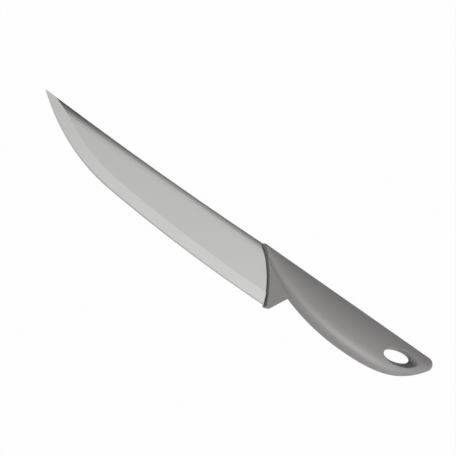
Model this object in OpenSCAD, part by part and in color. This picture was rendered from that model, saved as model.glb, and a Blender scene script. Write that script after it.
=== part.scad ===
// Carving knife with a moulded soft-grip handle.
// Working axes: X runs from the tip (negative) to the butt (positive), Y from the
// cutting edge (negative) to the spine, Z across the thickness. The drawing zero is
// where the spine meets the handle, on the blade's middle plane. The last step moves
// the part so that its zero is the bottom centre of the knife lying on its side.

/* [Blade] */
// Length of the spine from the handle to the tip
spine_len = 177; // [150:1:210]
// Depth of the blade from the spine to the cutting edge, at the heel
blade_depth = 34.2; // [31:0.1:38]
// How far behind the top of the joint the heel sits
heel_setback = 23.6; // [20:0.1:27]
// Height of the tip above the spine's end at the handle
tip_rise = 1.4; // [0.5:0.1:3]
// How far the spine sags below a straight line
spine_sag = 1.4; // [0.4:0.1:3]
// Length of the straight edge in front of the heel
straight_len = 15; // [14:0.1:22]
// Radius of the long gentle part of the edge
sweep_r = 1150; // [900:10:1500]
// Turn of the long gentle part of the edge, in degrees
sweep_turn = 5.8; // [4.5:0.1:6.2]
// Sheet thickness of the blade and tang
stock = 2.0; // [1.5:0.1:2.6]
// Depth ground off each side of the blade in front of the handle
ground_off = 0.05; // [0.02:0.01:0.1]
// Thickness at the rounded spine
spine_t = 1.2; // [0.8:0.1:1.4]
// Depth of the rounding below the spine
spine_roll = 6; // [3:0.5:8]

/* [Grinding] */
// Width of the ground bevel along the edge
bevel_w = 8.0; // [6:0.1:9]
// Width of the honed strip at the very edge
hone_w = 0.9; // [0.5:0.1:1.4]
// Thickness behind the honed strip
hone_t = 0.44; // [0.2:0.02:0.5]
// Thickness left at the cutting edge
edge_land = 0.08; // [0.04:0.01:0.16]

/* [Guard] */
// Radius of the handle's curved front edge
front_r = 80; // [72:1:95]
// Thickness of the flat guard
guard_t = 7.4; // [6:0.1:8]
// How far the guard reaches below the heel
guard_drop = 0.7; // [0.4:0.1:1.5]
// Width of the guard's foot along the edge line
guard_foot = 2.0; // [1.6:0.1:4]
// Radius of the foot's rear corner
foot_r = 1.2; // [0.6:0.1:1.6]
// Distance behind the joint where the guard's rear edge meets the grip
guard_reach = 34.6; // [32:0.1:40]
// How far the blade's rear rim is sunk in the guard
sunk = 1.2; // [0.8:0.1:1.6]

/* [Grip] */
// Length of the handle from the top of the joint to the butt
grip_len = 152.6; // [146:0.1:165]
// Depth of the grip from its top line to the lowest point of the belly
grip_depth = 30.7; // [29:0.1:35]
// Distance of that lowest point from the joint
belly_at = 90; // [84:1:96]
// Greatest width of the grip
grip_w = 19; // [17:0.1:23]
// Width of the grip at the joint
front_w = 9.6; // [9.2:0.1:11]
// Width of the grip just before the butt
butt_w = 10.6; // [9:0.1:13]
// Radius of the butt in side view
butt_r = 5.1; // [4.4:0.1:6]
// Angle at which the belly runs into the butt
butt_turn = 40; // [34:1:48]
// How far the grip's top line stands above the spine
grip_proud = 1.1; // [0.8:0.1:2.2]
// Radius of the grip's front top corner
lead_r = 1.5; // [0.8:0.1:1.8]
// Depth of the joint's top that the grip covers
crease_drop = 2.0; // [1.4:0.1:2.4]
// Downward slope of the crease between grip and guard, in degrees
crease_fall = 39; // [36:0.5:41]

/* [Core] */
// Thickness of the core plate inside the grip
core_t = 6; // [5:0.1:6.6]
// Depth of soft cover above the core plate
top_skin = 4.5; // [4:0.1:5]
// Depth of soft cover below the core plate
belly_skin = 3.2; // [2.8:0.1:4]
// Depth to which the guard's root is sunk in the grip
guard_root = 2.5; // [2:0.1:3]
// Radius of the holes that lock the cover to the core
key_r = 1.8; // [1.2:0.1:2]
// Number of those holes
key_n = 3; // [1:1:4]

/* [Tang] */
// Length of the tang inside the handle, from the top of the joint
tang_len = 102; // [90:1:106]
// Depth of the tang
tang_w = 8; // [6:0.1:8.6]
// Depth of the tang's middle line below the spine
tang_drop = 11.5; // [11:0.1:12]
// Radius of the holes that lock the core to the tang
lock_r = 2.2; // [1.5:0.1:2.5]
// Number of those holes
lock_n = 3; // [2:1:4]

/* [Hanging eye] */
// Length of the eye near the grip's surface
eye_len = 29.5; // [26:0.1:31]
// Width of the eye near the grip's surface
eye_w = 12; // [11:0.1:13]
// Length of the eye at its narrowest, half way through
waist_len = 21.4; // [19:0.1:23]
// Width of the eye at its narrowest
waist_w = 7.6; // [7.2:0.1:8.4]
// Distance of the eye's centre from the butt
eye_inset = 27.6; // [26:0.1:30]
// Depth of the eye's centre below the grip's top line
eye_drop = 12.7; // [12.1:0.1:13.3]
// How much nearer the butt the eye is centred at the surface than half way through
eye_shift = 1.8; // [0:0.1:2.5]
// Slope of the eye's long axis, in degrees
eye_tilt = 14; // [8:1:18]

/* [Hidden] */
steel = [0.80, 0.80, 0.79];
core_grey = [0.57, 0.56, 0.56];
cover_grey = [0.52, 0.51, 0.51];
round_steps = 96;
fine_steps = 720;

blade_t = stock - 2 * ground_off;
edge_y = -blade_depth;
guard_y = edge_y - guard_drop;
belly_y = grip_proud - grip_depth;
heel = [heel_setback, edge_y];
tip = [-spine_len, tip_rise];

function mix(a, b, t) = a + (b - a) * t;
function clamp(t) = min(1, max(0, t));
function unit(v) = v / norm(v);
function left_of(v) = [-v[1], v[0]];
function turned(v, a) = [v[0] * cos(a) - v[1] * sin(a), v[0] * sin(a) + v[1] * cos(a)];
function polar(r, a) = r * [cos(a), sin(a)];

// A cubic curve through four control points, its direction, and where it reaches x.
function bez(p, t) =
    pow(1 - t, 3) * p[0] + 3 * pow(1 - t, 2) * t * p[1]
    + 3 * (1 - t) * t * t * p[2] + pow(t, 3) * p[3];
function bez_way(p, t) =
    pow(1 - t, 2) * (p[1] - p[0]) + 2 * (1 - t) * t * (p[2] - p[1]) + t * t * (p[3] - p[2]);
function bez_at(p, x, low = 0, high = 1, n = 30) =
    let (m = (low + high) / 2)
    n == 0 ? m : bez(p, m)[0] < x ? bez_at(p, x, m, high, n - 1) : bez_at(p, x, low, m, n - 1);
function sunk_point(p, t, depth) = bez(p, t) + depth * unit(left_of(bez_way(p, t)));

// A shallow arc from a to b that bows to the left of the way by sag, without its ends.
function arc_between(a, b, sag, n) =
    let (c = norm(b - a), r = c * c / 8 / sag + sag / 2, u = unit(b - a), l = left_of(u),
         centre = (a + b) / 2 + l * (sag - r), half = asin(c / 2 / r))
    [for (i = [1:n - 1]) let (q = mix(-half, half, i / n)) centre + r * (l * cos(q) + u * sin(q))];

// The handle's front edge is a circle through the top of the joint and the heel.
half_way = heel / 2;
front_c = half_way - left_of(unit(heel)) * sqrt(front_r * front_r - half_way * half_way);

// The cutting edge is a straight line, a long gentle arc and a tighter arc to the tip.
straight_end = [heel_setback - straight_len, edge_y];
sweep_c = straight_end + [0, sweep_r];
sweep_end = sweep_c + polar(sweep_r, -90 - sweep_turn);
to_tip = tip - sweep_end;
nose_turn = 2 * atan(to_tip[1] / -to_tip[0]) - sweep_turn;
nose_r = -to_tip[0] / (sin(nose_turn) - sin(sweep_turn));
nose_c = sweep_end - polar(nose_r, -90 - sweep_turn);

spine_steps = 20;
edge_steps = 24;
spine_points = arc_between([0, 0], tip, spine_sag, spine_steps);
nose_points = [for (i = [0:edge_steps - 1])
    nose_c + polar(nose_r, -90 - mix(nose_turn, sweep_turn, i / edge_steps))];
sweep_points = [for (i = [0:edge_steps])
    sweep_c + polar(sweep_r, -90 - mix(sweep_turn, 0, i / edge_steps))];
tucked = 4;
plate_points = concat([[heel[0] + tucked, 0], [0, 0]], spine_points, nose_points, sweep_points,
                      [[heel[0] + tucked, edge_y]]);

module plate(thick) {
    translate([0, 0, -thick / 2]) linear_extrude(thick) polygon(plate_points);
}

module front_disc(extra = 0, high = 40) {
    translate(front_c) cylinder(r = front_r + extra, h = high, center = true, $fn = fine_steps);
}

// Everything in front of the handle's front edge, or of a line that much further back.
module ahead(extra = 0) {
    front_disc(extra);
    translate([2 * tip[0], guard_y, -stock])
        cube([front_c[0] - 2 * tip[0], roll_top - guard_y, 2 * stock]);
}

// Half the blade's cross-section, seen along its length: flat, then rolled to the spine.
roll_steps = 6;
roll_clear = 0.6;
roll_top = tip_rise + roll_clear;
function half_at(y) =
    let (u = clamp((y + spine_roll) / (spine_roll + tip_rise)))
    (blade_t - (blade_t - spine_t) * u * u) / 2;
roll_side = [for (i = [0:roll_steps])
    let (y = mix(-spine_roll, roll_top, i / roll_steps)) [y, half_at(y)]];
section = concat([[guard_y, blade_t / 2]], roll_side,
                 [for (i = [roll_steps:-1:0]) [roll_side[i][0], -roll_side[i][1]]],
                 [[guard_y, -blade_t / 2]]);

module section_bar() {
    rotate([90, 0, 90])
        translate([0, 0, -spine_len - 1])
            linear_extrude(spine_len + heel_setback + 2 * tucked) polygon(section);
}

// What the wheel takes off one side, as a shape across the edge: the first number is the
// distance outwards from the edge line, the second the height above the middle plane.
bevel_slope = (blade_t - hone_t) / 2 / (bevel_w - hone_w);
bevel_back = bevel_w + 2;
back_z = hone_t / 2 + (bevel_back - hone_w) * bevel_slope;
cut_top = back_z + 1;
grind = [[2, edge_land / 2], [0, edge_land / 2], [-hone_w, hone_t / 2], [-bevel_back, back_z],
         [-bevel_back, cut_top], [2, cut_top]];
past_tip = 6;
past_steps = 3;

// The same shape set square to the edge. It runs from inside the handle to past the tip.
function grind_across(point, out) = [for (g = grind) let (p = point + g[0] * out) [p[0], p[1], g[1]]];
function grind_turned(centre, r, a) = grind_across(centre + polar(r, -90 - a), polar(1, -90 - a));
grind_rings = concat(
    [grind_across([heel[0] + 2 * tucked, edge_y], [0, -1])],
    [for (i = [0:edge_steps]) grind_turned(sweep_c, sweep_r, sweep_turn * i / edge_steps)],
    [for (i = [1:edge_steps])
        grind_turned(nose_c, nose_r, mix(sweep_turn, nose_turn, i / edge_steps))],
    [for (i = [1:past_steps]) grind_turned(nose_c, nose_r, nose_turn + past_tip * i / past_steps)]
);

// A closed skin over a row of rings that all have the same number of points.
module loft(rings) {
    n = len(rings[0]);
    m = len(rings);
    skin = [for (j = [0:m - 2], i = [0:n - 1], half = [0, 1])
        let (a = j * n + i, b = j * n + (i + 1) % n)
        half == 0 ? [a, b, a + n] : [b, b + n, a + n]];
    polyhedron([for (ring = rings, p = ring) p],
               concat([[for (i = [n - 1:-1:0]) i]], skin, [[for (i = [0:n - 1]) (m - 1) * n + i]]));
}

lock_first = 40;
lock_last = tang_len - tang_w;
tang_start = 5;

module tang() {
    translate([tang_start, -tang_drop - tang_w / 2, -stock / 2])
        cube([tang_len - tang_w / 2 - tang_start, tang_w, stock]);
    translate([tang_len - tang_w / 2, -tang_drop, 0])
        cylinder(d = tang_w, h = stock, center = true, $fn = round_steps);
}

module blade_solid() {
    difference() {
        union() {
            intersection() {
                plate(2 * stock);
                ahead();
                section_bar();
            }
            difference() {
                union() {
                    intersection() {
                        plate(stock);
                        ahead(sunk);
                    }
                    tang();
                }
                ahead();
            }
        }
        loft(grind_rings);
        mirror([0, 0, 1]) loft(grind_rings);
        for (i = [0:lock_n - 1])
            translate([mix(lock_first, lock_last, i / (lock_n - 1)), -tang_drop, 0])
                cylinder(r = lock_r, h = 2 * stock, center = true, $fn = round_steps);
    }
}

// The grip in side view: a crease that falls along the guard into the belly, then a
// belly that rises to the round butt.
crease_pull = 24;
belly_pull = 40;
butt_pull = 24;
rise_share = 0.52;
butt_c = [grip_len - butt_r, grip_proud - butt_r];
butt_start = butt_c + polar(butt_r, -butt_turn);
fore = [
    [0, -crease_drop],
    [0, -crease_drop] + polar(crease_pull, -crease_fall),
    [belly_at - belly_pull, belly_y],
    [belly_at, belly_y]
];
aft = [
    [belly_at, belly_y],
    [mix(belly_at, butt_c[0], rise_share), belly_y],
    butt_start - polar(butt_pull, 90 - butt_turn),
    butt_start
];

// The foot and rear edge of the guard.
foot_x = front_c[0] + sqrt(pow(front_r, 2) - pow(guard_y - front_c[1], 2)) + guard_foot;
reach_t = bez_at(fore, guard_reach);
reach = bez(fore, reach_t);
lean = atan2(reach[1] - guard_y, reach[0] - foot_x);
foot_c = [foot_x - foot_r * tan(lean / 2), guard_y + foot_r];
foot_points = [for (i = [0:8]) foot_c + polar(foot_r, mix(-90, lean - 90, i / 8))];
root_from = 3;
root_first = bez_at(fore, root_from);
root_steps = 14;
root_points = [for (i = [0:root_steps])
    sunk_point(fore, mix(reach_t, root_first, i / root_steps), guard_root)];
guard_back = -6;
guard_under = 0.5;
guard_top = -crease_drop - guard_under;
guard_points = concat([[guard_back, guard_y]], foot_points, [reach], root_points,
                      [[root_points[root_steps][0], guard_top], [guard_back, guard_top]]);

// The plate inside the grip follows the belly, with less cover over the guard's root.
plate_from = 10;
plate_first = bez_at(fore, plate_from);
plate_steps = 20;
near_skin = 1.2;
skin_run = 10;
function skin_at(x) = mix(near_skin, belly_skin, clamp((x - guard_reach) / skin_run));
fore_plate = [for (i = [0:plate_steps])
    let (t = mix(plate_first, 1, i / plate_steps)) sunk_point(fore, t, skin_at(bez(fore, t)[0]))];
aft_plate = [for (i = [1:plate_steps]) sunk_point(aft, i / plate_steps, belly_skin)];
plate_top = grip_proud - top_skin;
inner_points = concat(fore_plate, aft_plate, [[butt_c[0], plate_top], [fore_plate[0][0], plate_top]]);

// The grip's half width along its length, and how it closes at the butt.
taper_power = 1.25;
function half_w(x) =
    x < belly_at ? mix(front_w, grip_w, 1 - pow(1 - x / belly_at, 2)) / 2
    : mix(grip_w, butt_w, pow(clamp((x - belly_at) / (butt_c[0] - belly_at)), taper_power)) / 2;
least_close = 0.12;
function close_at(x) =
    x <= butt_c[0] ? 1 : max(least_close, sqrt(max(0, 1 - pow((x - butt_c[0]) / butt_r, 2))));
fore_steps = 24;
aft_steps = 20;
fore_t = [for (i = [1:fore_steps]) pow(i / fore_steps, 2)];
grip_start = bez(fore, fore_t[0])[0];
function lead(x) =
    let (u = clamp(1 - (x - grip_start) / lead_r)) lead_r * (1 - sqrt(1 - u * u));
function grip_top(x) = x <= butt_c[0] ? grip_proud - lead(x) : butt_c[1] + butt_r * close_at(x);

// One ring of the grip. Above its widest line it is leaner than below.
around = 32;
lean_power = 1.0;
full_power = 0.8;
lead_share = 0.6;
widest_share = 0.46;
function grip_ring(x, low) =
    let (top = grip_top(x), mid = mix(low, top, widest_share),
         wide = half_w(x) * close_at(x) - lead_share * lead(x))
    [for (i = [0:around - 1])
        let (a = 360 * i / around, c = cos(a), s = sin(a), up = s > 0,
             power = up ? lean_power : full_power)
        [x, mid + (up ? top - mid : mid - low) * sign(s) * pow(abs(s), power),
         wide * sign(c) * pow(abs(c), power)]];
butt_step = 10;
butt_least = 5;
butt_angles = [for (a = [butt_turn - butt_step:-butt_step:butt_least]) a];
grip_rings = concat(
    [for (t = fore_t) let (p = bez(fore, t)) grip_ring(p[0], p[1])],
    [for (i = [1:aft_steps]) let (p = bez(aft, i / aft_steps)) grip_ring(p[0], p[1])],
    [for (a = butt_angles) let (p = butt_c + polar(butt_r, -a)) grip_ring(p[0], p[1])],
    [grip_ring(grip_len, butt_c[1] - least_close * butt_r)]
);

// The hanging eye: an oval throat that flares towards both faces of the grip.
eye_c = [grip_len - eye_inset, grip_proud - eye_drop];
eye_short = 0.5;
eye_face = half_w(eye_c[0]) - eye_short;
eye_around = 40;
flare_power = 1.7;
flare_steps = 6;
flare_reach = 1.45;
function eye_ring(k) =
    let (u = pow(abs(k) * flare_reach, flare_power),
         long = mix(waist_len, eye_len, u) / 2, wide = mix(waist_w, eye_w, u) / 2)
    [for (i = [0:eye_around - 1])
        let (a = -360 * i / eye_around, oval = [u * eye_shift + long * cos(a), wide * sin(a)],
             p = eye_c + turned(oval, eye_tilt))
        [p[0], p[1], k * flare_reach * eye_face]];

module eye_cut() {
    loft([for (i = [-flare_steps:flare_steps]) eye_ring(i / flare_steps)]);
}

key_gap = 3.6;
key_y = -tang_drop - tang_w / 2 - key_gap;
key_first = 64;
key_pitch = 13;

module core_body() {
    difference() {
        translate([0, 0, -guard_t / 2]) linear_extrude(guard_t) polygon(guard_points);
        front_disc();
    }
    translate([0, 0, -core_t / 2]) linear_extrude(core_t) polygon(inner_points);
}

module core_solid() {
    difference() {
        core_body();
        eye_cut();
        for (i = [0:key_n - 1])
            translate([key_first + i * key_pitch, key_y, 0])
                cylinder(r = key_r, h = 2 * core_t, center = true, $fn = round_steps);
    }
}

// Moves the part from its drawing zero to the bottom centre of its box.
module placed() {
    translate([(spine_len - grip_len) / 2, -(guard_y + max(grip_proud, tip_rise)) / 2, grip_w / 2])
        children();
}

module blade() {
    color(steel) placed() blade_solid();
}

module handle_core() {
    color(core_grey) placed() difference() {
        core_solid();
        blade_solid();
    }
}

module grip_cover() {
    color(cover_grey) placed() difference() {
        loft(grip_rings);
        front_disc();
        eye_cut();
        core_solid();
        blade_solid();
    }
}

blade();
handle_core();
grip_cover();
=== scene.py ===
# %% [markdown]
# A carving knife lies on its side on a pale floor. Its blade, its hard plastic core and its
# grip come from a imported model, which is loaded first and fixes every size. The looks are
# built round it: smooth shapes, finishes, light and camera. The box of the loaded model is
# kept and printed at the end.

# %% Load the model
import bmesh
import bpy
from math import cos, pi, radians, sin, sqrt
from mathutils import Matrix, Vector


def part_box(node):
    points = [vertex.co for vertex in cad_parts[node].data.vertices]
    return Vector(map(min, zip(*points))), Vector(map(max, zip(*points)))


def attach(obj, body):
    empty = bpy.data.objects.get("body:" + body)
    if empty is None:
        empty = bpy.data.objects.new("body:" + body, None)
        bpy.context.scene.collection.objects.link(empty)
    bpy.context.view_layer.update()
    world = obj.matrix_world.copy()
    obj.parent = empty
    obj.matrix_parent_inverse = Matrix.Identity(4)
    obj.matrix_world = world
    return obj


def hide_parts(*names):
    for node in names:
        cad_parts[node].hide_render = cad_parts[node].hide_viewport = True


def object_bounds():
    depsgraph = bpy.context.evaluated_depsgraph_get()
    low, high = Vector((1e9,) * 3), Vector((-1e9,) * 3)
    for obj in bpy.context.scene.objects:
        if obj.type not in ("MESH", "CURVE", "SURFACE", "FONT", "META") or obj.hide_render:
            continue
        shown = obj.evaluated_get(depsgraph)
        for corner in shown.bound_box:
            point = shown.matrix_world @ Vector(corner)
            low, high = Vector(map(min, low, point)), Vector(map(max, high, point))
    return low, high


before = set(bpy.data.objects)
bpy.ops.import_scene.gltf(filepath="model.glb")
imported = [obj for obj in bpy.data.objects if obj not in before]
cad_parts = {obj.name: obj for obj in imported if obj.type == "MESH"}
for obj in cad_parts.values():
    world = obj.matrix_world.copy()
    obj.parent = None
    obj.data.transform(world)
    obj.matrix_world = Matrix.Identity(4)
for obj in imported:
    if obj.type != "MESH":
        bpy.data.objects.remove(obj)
cad_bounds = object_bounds()
MM = 0.001
low, high = (Vector(corner) for corner in cad_bounds)
blade_low, blade_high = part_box("blade")
core_low, core_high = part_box("handle_core")
mid_z = (blade_low.z + blade_high.z) / 2
print("model loaded:", sorted(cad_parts), "middle plane at", round(mid_z, 4))

# %% [markdown]
# The camera looks down on the knife from beyond the tip, turned so that the knife runs from
# the upper left to the lower right. Its place and its three directions are written out, and
# a long lens keeps the perspective as slight as it looks.

# %% Camera
CAMERA_AT = Vector((-0.2787, -0.16115, 0.8778))
CAMERA_RIGHT = Vector((0.7862, 0.5148, 0.3420))
CAMERA_UP = Vector((-0.5478, 0.8366, 0.0))
LENS_MM = 110.5


def make_camera():
    data = bpy.data.cameras.new("camera")
    data.lens = LENS_MM
    data.sensor_width = 36.0
    camera = bpy.data.objects.new("camera", data)
    right = CAMERA_RIGHT.normalized()
    back = right.cross(CAMERA_UP).normalized()
    up = back.cross(right)
    turn = Matrix((right, up, back)).transposed().to_4x4()
    camera.matrix_world = Matrix.Translation(CAMERA_AT) @ turn
    bpy.context.scene.collection.objects.link(camera)
    bpy.context.scene.camera = camera
    return camera


make_camera()
print("camera looks from", tuple(CAMERA_AT))

# %% [markdown]
# Four short helpers are used by every piece. One turns a bmesh into an object at the
# origin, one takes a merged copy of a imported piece, because its mesh is loose triangles,
# and one applies the modifiers that a piece has collected. The last one shades a piece
# smooth up to a crease angle, with the largest faces leading, so that flat faces look flat.

# %% Helpers for pieces


def to_object(bm, name):
    mesh = bpy.data.meshes.new(name)
    bm.to_mesh(mesh)
    bm.free()
    piece = bpy.data.objects.new(name, mesh)
    bpy.context.scene.collection.objects.link(piece)
    return piece


def merged_copy(node, turn_limit):
    bm = bmesh.new()
    bm.from_mesh(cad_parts[node].data)
    bmesh.ops.remove_doubles(bm, verts=bm.verts, dist=0.002 * MM)
    bmesh.ops.dissolve_limit(bm, angle_limit=turn_limit, verts=bm.verts, edges=bm.edges)
    return bm


def apply_modifiers(piece):
    graph = bpy.context.evaluated_depsgraph_get()
    shaped = bpy.data.meshes.new_from_object(piece.evaluated_get(graph))
    piece.modifiers.clear()
    piece.data = shaped


def shade(piece, crease):
    for face in piece.data.polygons:
        face.use_smooth = True
    piece.data.set_sharp_from_angle(angle=crease)
    even = piece.modifiers.new("even_normals", "WEIGHTED_NORMAL")
    even.keep_sharp = True
    even.weight = 80
    apply_modifiers(piece)


# %% [markdown]
# The blade is stamped from sheet, rolled over at the spine and ground to a wide bevel with
# a fine honed edge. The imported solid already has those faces, so a merged copy keeps its
# shape, and only breaks as sharp as the bevel's shoulder stay as creases.

# %% Blade
BLADE_CREASE = radians(2.2)


def make_blade():
    piece = to_object(merged_copy("blade", radians(0.05)), "blade_steel_piece")
    shade(piece, BLADE_CREASE)
    return piece


blade = make_blade()
print("blade has", len(blade.data.polygons), "faces")

# %% [markdown]
# The core is the hard plastic that is moulded on the tang. Only its guard shows, a flat web
# behind the heel, and moulded plastic never has a knife-sharp rim. The copy's rims that lie
# on the guard's two faces are rounded with a small bevel, and the hidden ones are left.

# %% Guard and core
RIM_ROUND = 0.55 * MM
RIM_TURN = radians(25)


def on_guard_face(edge):
    half = (core_high.z - core_low.z) / 2
    return all(abs(abs(v.co.z - mid_z) - half) < 0.02 * MM for v in edge.verts)


def make_core():
    bm = merged_copy("handle_core", radians(0.2))
    rims = [e for e in bm.edges
            if len(e.link_faces) == 2 and e.calc_face_angle(0) > RIM_TURN and on_guard_face(e)]
    bmesh.ops.bevel(bm, geom=rims, offset=RIM_ROUND, offset_type="OFFSET", affect="EDGES",
                    segments=4, profile=0.5, material=-1, clamp_overlap=True)
    bmesh.ops.triangulate(bm, faces=[f for f in bm.faces if len(f.verts) > 4])
    piece = to_object(bm, "guard_and_core")
    shade(piece, radians(28))
    print("core rims rounded:", len(rims))
    return piece


core = make_core()

# %% [markdown]
# The grip is one flowing moulding. Seen from the side it has a straight top, a crease that
# falls along the guard, a deep belly and a round butt. The curves below are the ones that
# such a shape is drawn with: two cubic curves and a circle, measured from the joint's top.

# %% The grip's curves
JOINT = Vector((high.x - 152.6 * MM, high.y - 1.4 * MM, mid_z))
GRIP_LEN = 152.6
GRIP_TOP = 1.1
GRIP_DEPTH = 30.7
BELLY_AT = 90.0
GRIP_W, FRONT_W, BUTT_W = 19.0, 9.6, 10.6
BUTT_R, BUTT_TURN = 5.1, radians(40)
LEAD_R = 1.5
CREASE_DROP, CREASE_FALL = 2.0, radians(39)
butt_c = Vector((GRIP_LEN - BUTT_R, GRIP_TOP - BUTT_R))
butt_start = butt_c + BUTT_R * Vector((cos(BUTT_TURN), -sin(BUTT_TURN)))
belly = Vector((BELLY_AT, GRIP_TOP - GRIP_DEPTH))
joint_low = Vector((0.0, -CREASE_DROP))
fore = (joint_low, joint_low + 24 * Vector((cos(CREASE_FALL), -sin(CREASE_FALL))),
        belly - Vector((40, 0)), belly)
aft = (belly, Vector((BELLY_AT + 0.52 * (butt_c.x - BELLY_AT), belly.y)),
       butt_start - 24 * Vector((sin(BUTT_TURN), cos(BUTT_TURN))), butt_start)


def bezier(p, t):
    s = 1 - t
    return s ** 3 * p[0] + 3 * s * s * t * p[1] + 3 * s * t * t * p[2] + t ** 3 * p[3]


def blend(a, b, t):
    return a + (b - a) * t


print("grip runs to", GRIP_LEN, "mm and is", GRIP_DEPTH, "mm deep")

# %% [markdown]
# A ring of points is set square to the grip at each station: leaner above its widest line
# and fuller below. The first ring is a bmesh circle whose points move into place, and each
# next ring is extruded from the last, so the skin is one even net of four-sided faces.

# %% The grip's rings
AROUND = 96
FORE_STEPS, AFT_STEPS = 56, 40
WIDEST = 0.46
LEAN, FULL = 1.0, 0.8


def closing(x):
    if x <= butt_c.x:
        return 1.0
    return max(0.12, sqrt(max(0.0, 1 - ((x - butt_c.x) / BUTT_R) ** 2)))


def half_width(x):
    if x < BELLY_AT:
        return blend(FRONT_W, GRIP_W, 1 - (1 - x / BELLY_AT) ** 2) / 2
    run = min(1.0, (x - BELLY_AT) / (butt_c.x - BELLY_AT))
    return blend(GRIP_W, BUTT_W, run ** 1.25) / 2


stations = [bezier(fore, (i / FORE_STEPS) ** 2) for i in range(2, FORE_STEPS + 1)]
stations += [bezier(aft, i / AFT_STEPS) for i in range(1, AFT_STEPS + 1)]
stations += [butt_c + BUTT_R * Vector((cos(a), -sin(a)))
             for a in (radians(d) for d in range(36, 6, -3))]
stations.append(Vector((GRIP_LEN, butt_c.y - 0.12 * BUTT_R)))
grip_start = stations[0].x


def lead(x):
    u = min(1.0, max(0.0, 1 - (x - grip_start) / LEAD_R))
    return LEAD_R * (1 - sqrt(1 - u * u))


def grip_ring(station):
    x, bottom = station
    top = GRIP_TOP - lead(x) if x <= butt_c.x else butt_c.y + BUTT_R * closing(x)
    mid = blend(bottom, top, WIDEST)
    wide = half_width(x) * closing(x) - 0.6 * lead(x)
    points = []
    for i in range(AROUND):
        a = 2 * pi * i / AROUND
        c, s = cos(a), sin(a)
        power = LEAN if s > 0 else FULL
        rise = (top - mid if s > 0 else mid - bottom) * abs(s) ** power
        y = mid + (rise if s > 0 else -rise)
        z = wide * abs(c) ** power * (1 if c > 0 else -1)
        points.append(JOINT + Vector((x, y, z)) * MM)
    return points


print("grip has", len(stations), "rings of", AROUND, "points")

# %% [markdown]
# The same small loft makes the grip's skin and the throat of the hanging eye. A bmesh
# circle gives the first ring, and the edges of the open end are extruded ring by ring.

# %% A loft by extrusion


def loft(rings, name):
    bm = bmesh.new()
    made = bmesh.ops.create_circle(bm, segments=len(rings[0]), radius=1.0, cap_ends=False)
    ring = made["verts"]
    for vert, point in zip(ring, rings[0]):
        vert.co = point
    first = list(ring)
    for points in rings[1:]:
        edges = [bm.edges.get((a, b)) for a, b in zip(ring, ring[1:] + ring[:1])]
        new = bmesh.ops.extrude_edge_only(bm, edges=edges)["geom"]
        fresh = {v for v in new if isinstance(v, bmesh.types.BMVert)}
        ring = [next(e.other_vert(v) for e in v.link_edges if e.other_vert(v) in fresh)
                for v in ring]
        for vert, point in zip(ring, points):
            vert.co = point
    bmesh.ops.contextual_create(bm, geom=first)
    bmesh.ops.contextual_create(bm, geom=ring)
    bmesh.ops.recalc_face_normals(bm, faces=bm.faces)
    return to_object(bm, name)


grip = loft([grip_ring(s) for s in stations], "soft_grip")
print("grip skin:", len(grip.data.polygons), "faces")

# %% [markdown]
# The hanging eye is an oval throat, narrowest half way through and flared to both faces.
# Its rings grow away from the middle by a power of the height, and lean a little towards the
# butt. The throat is a cutting tool: it is taken away from the grip and leaves a clean lip.

# %% The eye's throat
EYE_AT = Vector((GRIP_LEN - 27.6, GRIP_TOP - 12.7))
EYE_TILT = radians(14)
EYE_LONG, EYE_WIDE = 29.5, 12.0
WAIST_LONG, WAIST_WIDE = 21.4, 7.6
EYE_SHIFT, EYE_FLARE = 1.8, 1.7
EYE_RINGS = 14
EYE_REACH = 1.45
eye_face = half_width(EYE_AT.x) - 0.5


def eye_ring(k):
    u = (abs(k) * EYE_REACH) ** EYE_FLARE
    long, wide = blend(WAIST_LONG, EYE_LONG, u) / 2, blend(WAIST_WIDE, EYE_WIDE, u) / 2
    points = []
    for i in range(AROUND):
        a = 2 * pi * i / AROUND
        p, q = u * EYE_SHIFT + long * cos(a), wide * sin(a)
        x = EYE_AT.x + p * cos(EYE_TILT) - q * sin(EYE_TILT)
        y = EYE_AT.y + p * sin(EYE_TILT) + q * cos(EYE_TILT)
        points.append(JOINT + Vector((x, y, k * EYE_REACH * eye_face)) * MM)
    return points


def cut_away(piece, tool):
    cut = piece.modifiers.new(tool.name, "BOOLEAN")
    cut.operation = "DIFFERENCE"
    cut.solver = "EXACT"
    cut.object = tool


throat = loft([eye_ring(i / EYE_RINGS) for i in range(-EYE_RINGS, EYE_RINGS + 1)], "throat")
cut_away(grip, throat)
print("eye throat set at", tuple(round(v, 1) for v in EYE_AT))

# %% [markdown]
# The grip ends flush with the handle's curved front, so a large disc trims it there. Then
# the core and the blade's rim are taken away, which leaves the hollow that the moulding
# really has.

# %% Trim and hollow the grip
FRONT_R = 80.0
HEEL = Vector((23.6, -34.2))
heel_way = HEEL.normalized()
front_c = HEEL / 2 - Vector((-heel_way.y, heel_way.x)) * sqrt(FRONT_R ** 2 - HEEL.length ** 2 / 4)


def front_disc():
    bm = bmesh.new()
    place = Matrix.Translation(JOINT + Vector((front_c.x, front_c.y, 0)) * MM)
    bmesh.ops.create_cone(bm, cap_ends=True, segments=720, radius1=FRONT_R * MM,
                          radius2=FRONT_R * MM, depth=40 * MM, matrix=place)
    return to_object(bm, "front_disc")


disc = front_disc()
hollow = to_object(merged_copy("handle_core", radians(0.2)), "hollow")
steel = to_object(merged_copy("blade", radians(0.05)), "steel")
for tool in (disc, hollow, steel):
    cut_away(grip, tool)
apply_modifiers(grip)
for tool in (throat, disc, hollow, steel):
    bpy.data.objects.remove(tool)

shade(grip, radians(30))
print("grip has", len(grip.data.polygons), "faces")

# %% [markdown]
# All three finishes share one effect, a very fine unevenness. It is a node group with named
# sockets: noise, stretched along one way if wanted, gives a mask for roughness and a normal.

# %% Shared grain


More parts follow.
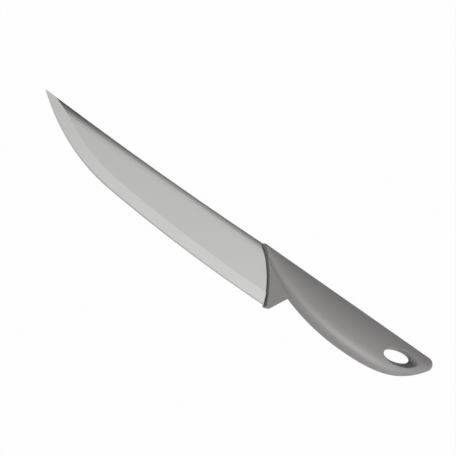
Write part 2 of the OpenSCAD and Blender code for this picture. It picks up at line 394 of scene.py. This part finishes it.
def make_grain():
    group = bpy.data.node_groups.new("fine_grain", "ShaderNodeTree")
    face = group.interface
    for name, value in (("Scale", 600.0), ("Depth", 0.05), ("Least", 0.4), ("Most", 0.5)):
        face.new_socket(name, in_out="INPUT", socket_type="NodeSocketFloat").default_value = value
    stretch = face.new_socket("Stretch", in_out="INPUT", socket_type="NodeSocketVector")
    stretch.default_value = (1, 1, 1)
    face.new_socket("Roughness", in_out="OUTPUT", socket_type="NodeSocketFloat")
    face.new_socket("Shade", in_out="OUTPUT", socket_type="NodeSocketFloat")
    face.new_socket("Normal", in_out="OUTPUT", socket_type="NodeSocketVector")
    nodes, links = group.nodes, group.links
    inlet, outlet = nodes.new("NodeGroupInput"), nodes.new("NodeGroupOutput")
    place = nodes.new("ShaderNodeTexCoord")
    pull = nodes.new("ShaderNodeVectorMath")
    pull.operation = "MULTIPLY"
    noise = nodes.new("ShaderNodeTexNoise")
    noise.inputs["Detail"].default_value = 4.0
    spread = nodes.new("ShaderNodeMapRange")
    bump = nodes.new("ShaderNodeBump")
    bump.inputs["Distance"].default_value = 0.05 * MM
    links.new(place.outputs["Object"], pull.inputs[0])
    links.new(inlet.outputs["Stretch"], pull.inputs[1])
    links.new(pull.outputs[0], noise.inputs["Vector"])
    links.new(inlet.outputs["Scale"], noise.inputs["Scale"])
    links.new(noise.outputs["Fac"], spread.inputs["Value"])
    links.new(inlet.outputs["Least"], spread.inputs["To Min"])
    links.new(inlet.outputs["Most"], spread.inputs["To Max"])
    links.new(noise.outputs["Fac"], bump.inputs["Height"])
    links.new(inlet.outputs["Depth"], bump.inputs["Strength"])
    links.new(spread.outputs["Result"], outlet.inputs["Roughness"])
    links.new(noise.outputs["Fac"], outlet.inputs["Shade"])
    links.new(bump.outputs["Normal"], outlet.inputs["Normal"])
    return group


GRAIN = make_grain()


def new_finish(name, scale, depth, least, most, stretch=(1, 1, 1)):
    finish = bpy.data.materials.new(name)
    finish.use_nodes = True
    tree = finish.node_tree
    shader = tree.nodes["Principled BSDF"]
    grain = tree.nodes.new("ShaderNodeGroup")
    grain.node_tree = GRAIN
    for socket, value in (("Scale", scale), ("Depth", depth), ("Least", least), ("Most", most)):
        grain.inputs[socket].default_value = value
    grain.inputs["Stretch"].default_value = stretch
    tree.links.new(grain.outputs["Roughness"], shader.inputs["Roughness"])
    tree.links.new(grain.outputs["Normal"], shader.inputs["Normal"])
    return finish, tree, shader, grain


def tint(tree, shader, mask, dark, light):
    ramp = tree.nodes.new("ShaderNodeMix")
    ramp.data_type = "RGBA"
    ramp.inputs["A"].default_value = (*dark, 1)
    ramp.inputs["B"].default_value = (*light, 1)
    tree.links.new(mask, ramp.inputs["Factor"])
    tree.links.new(ramp.outputs["Result"], shader.inputs["Base Color"])


print("grain group has", len(GRAIN.nodes), "nodes")

# %% [markdown]
# The steel is satin: metallic, fairly smooth, with a faint grain that runs across the blade
# as the grinding belt leaves it. The two plastics are matt greys of nearly the same tone,
# the grip a little softer and warmer than the core.

# %% Finishes


def steel_finish():
    finish, tree, shader, grain = new_finish("satin_steel", 900.0, 0.015, 0.13, 0.17, (1, 0.06, 1))
    shader.inputs["Metallic"].default_value = 1.0
    tint(tree, shader, grain.outputs["Shade"], (0.63, 0.63, 0.615), (0.67, 0.67, 0.655))
    return finish


def core_finish():
    finish, tree, shader, grain = new_finish("moulded_core", 1500.0, 0.12, 0.42, 0.50)
    tint(tree, shader, grain.outputs["Shade"], (0.190, 0.186, 0.184), (0.215, 0.211, 0.208))
    return finish


def grip_finish():
    finish, tree, shader, grain = new_finish("soft_grip_grey", 1900.0, 0.10, 0.48, 0.53)
    tint(tree, shader, grain.outputs["Shade"], (0.196, 0.190, 0.188), (0.222, 0.216, 0.213))
    shader.inputs["Specular IOR Level"].default_value = 0.65
    return finish


for piece, finish, node, slot in (
        (blade, steel_finish(), "blade", "blade_steel"),
        (core, core_finish(), "handle_core", "core_plastic"),
        (grip, grip_finish(), "grip_cover", "grip_rubber")):
    piece.data.materials.clear()
    piece.data.materials.append(finish)
    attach(piece, "root")
    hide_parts(node)
    print(piece.name, "stands for", node)

# %% [markdown]
# The floor is a wide pale sheet under the knife. What the camera or a polished surface sees
# of it is nearly white, and the rest of it is a plain matt surface, so the soft shadow stays.

# %% Floor


def make_floor():
    bm = bmesh.new()
    bmesh.ops.create_grid(bm, x_segments=1, y_segments=1, size=6.0)
    floor = to_object(bm, "floor")
    paint = bpy.data.materials.new("pale_floor")
    paint.use_nodes = True
    tree = paint.node_tree
    shader = tree.nodes["Principled BSDF"]
    shader.inputs["Base Color"].default_value = (0.2, 0.2, 0.2, 1)
    shader.inputs["Roughness"].default_value = 0.9
    glow = tree.nodes.new("ShaderNodeEmission")
    path = tree.nodes.new("ShaderNodeLightPath")
    seen = tree.nodes.new("ShaderNodeMath")
    seen.operation = "ADD"
    either = tree.nodes.new("ShaderNodeMath")
    either.operation = "ADD"
    share = tree.nodes.new("ShaderNodeMath")
    share.operation = "MULTIPLY"
    share.use_clamp = True
    share.inputs[1].default_value = 0.985
    mix = tree.nodes.new("ShaderNodeMixShader")
    tree.links.new(path.outputs["Is Camera Ray"], seen.inputs[0])
    tree.links.new(path.outputs["Is Glossy Ray"], seen.inputs[1])
    tree.links.new(seen.outputs[0], either.inputs[0])
    tree.links.new(path.outputs["Is Transmission Ray"], either.inputs[1])
    tree.links.new(either.outputs[0], share.inputs[0])
    tree.links.new(share.outputs[0], mix.inputs[0])
    tree.links.new(shader.outputs[0], mix.inputs[1])
    tree.links.new(glow.outputs[0], mix.inputs[2])
    tree.links.new(mix.outputs[0], tree.nodes["Material Output"].inputs["Surface"])
    floor.data.materials.append(paint)
    return floor


make_floor()
print("floor laid at z = 0")

# %% [markdown]
# Steel shows what it faces, so the light is a soft room: a pale band overhead, a little
# brighter towards the butt, that falls to dark on both sides of the knife, and pale walls
# farther out. Each fall is one smooth step over the sky's direction. A soft sun from the
# butt's side lights the grip's belly, and the steel doesn't mirror it to the camera.

# %% Light
GLOW_WAY = Vector((0.7, -0.7, 0.0))
GLOW = (-0.10, 0.35, 0.74, 0.97)
SCREEN = (0.22, 0.34, 1.0, 0.08)
BELOW = (-0.12, -0.32, 1.0, 0.15)
SIDES = (0.45, 0.80, 0.0, 0.55)
SUN_FROM = Vector((0.42, -0.49, 0.76))
SUN_STRENGTH = 2.3


def smooth_step(tree, value, step):
    ramp = tree.nodes.new("ShaderNodeMapRange")
    ramp.interpolation_type = "SMOOTHSTEP"
    for socket, level in zip(("From Min", "From Max", "To Min", "To Max"), step):
        ramp.inputs[socket].default_value = level
    tree.links.new(value, ramp.inputs["Value"])
    return ramp.outputs["Result"]


def combine(tree, operation, first, second):
    math = tree.nodes.new("ShaderNodeMath")
    math.operation = operation
    tree.links.new(first, math.inputs[0])
    tree.links.new(second, math.inputs[1])
    return math.outputs[0]


def make_world():
    world = bpy.data.worlds.new("soft_room")
    world.use_nodes = True
    bpy.context.scene.world = world
    tree = world.node_tree
    place = tree.nodes.new("ShaderNodeTexCoord")
    dot = tree.nodes.new("ShaderNodeVectorMath")
    dot.operation = "DOT_PRODUCT"
    dot.inputs[1].default_value = GLOW_WAY
    split = tree.nodes.new("ShaderNodeSeparateXYZ")
    tree.links.new(place.outputs["Generated"], dot.inputs[0])
    tree.links.new(place.outputs["Generated"], split.inputs[0])
    across = split.outputs["Y"]
    level = smooth_step(tree, dot.outputs["Value"], GLOW)
    level = combine(tree, "MULTIPLY", level, smooth_step(tree, across, SCREEN))
    level = combine(tree, "MULTIPLY", level, smooth_step(tree, across, BELOW))
    spread = combine(tree, "ABSOLUTE", across, across)
    level = combine(tree, "ADD", level, smooth_step(tree, spread, SIDES))
    tree.links.new(level, tree.nodes["Background"].inputs["Color"])
    tree.nodes["Background"].inputs["Strength"].default_value = 1.0


def make_sun():
    data = bpy.data.lights.new("soft_sun", "SUN")
    data.energy = SUN_STRENGTH
    data.angle = radians(14)
    sun = bpy.data.objects.new("soft_sun", data)
    sun.rotation_euler = SUN_FROM.to_track_quat("Z", "Y").to_euler()
    bpy.context.scene.collection.objects.link(sun)


make_world()
make_sun()
bpy.context.scene.view_settings.view_transform = "Standard"
print("sun comes from", tuple(SUN_FROM))

# %% [markdown]
# Last, the imported model's box is printed.

# %% Print the model's box
print("packed box", [[round(v, 4) for v in c] for c in cad_bounds])
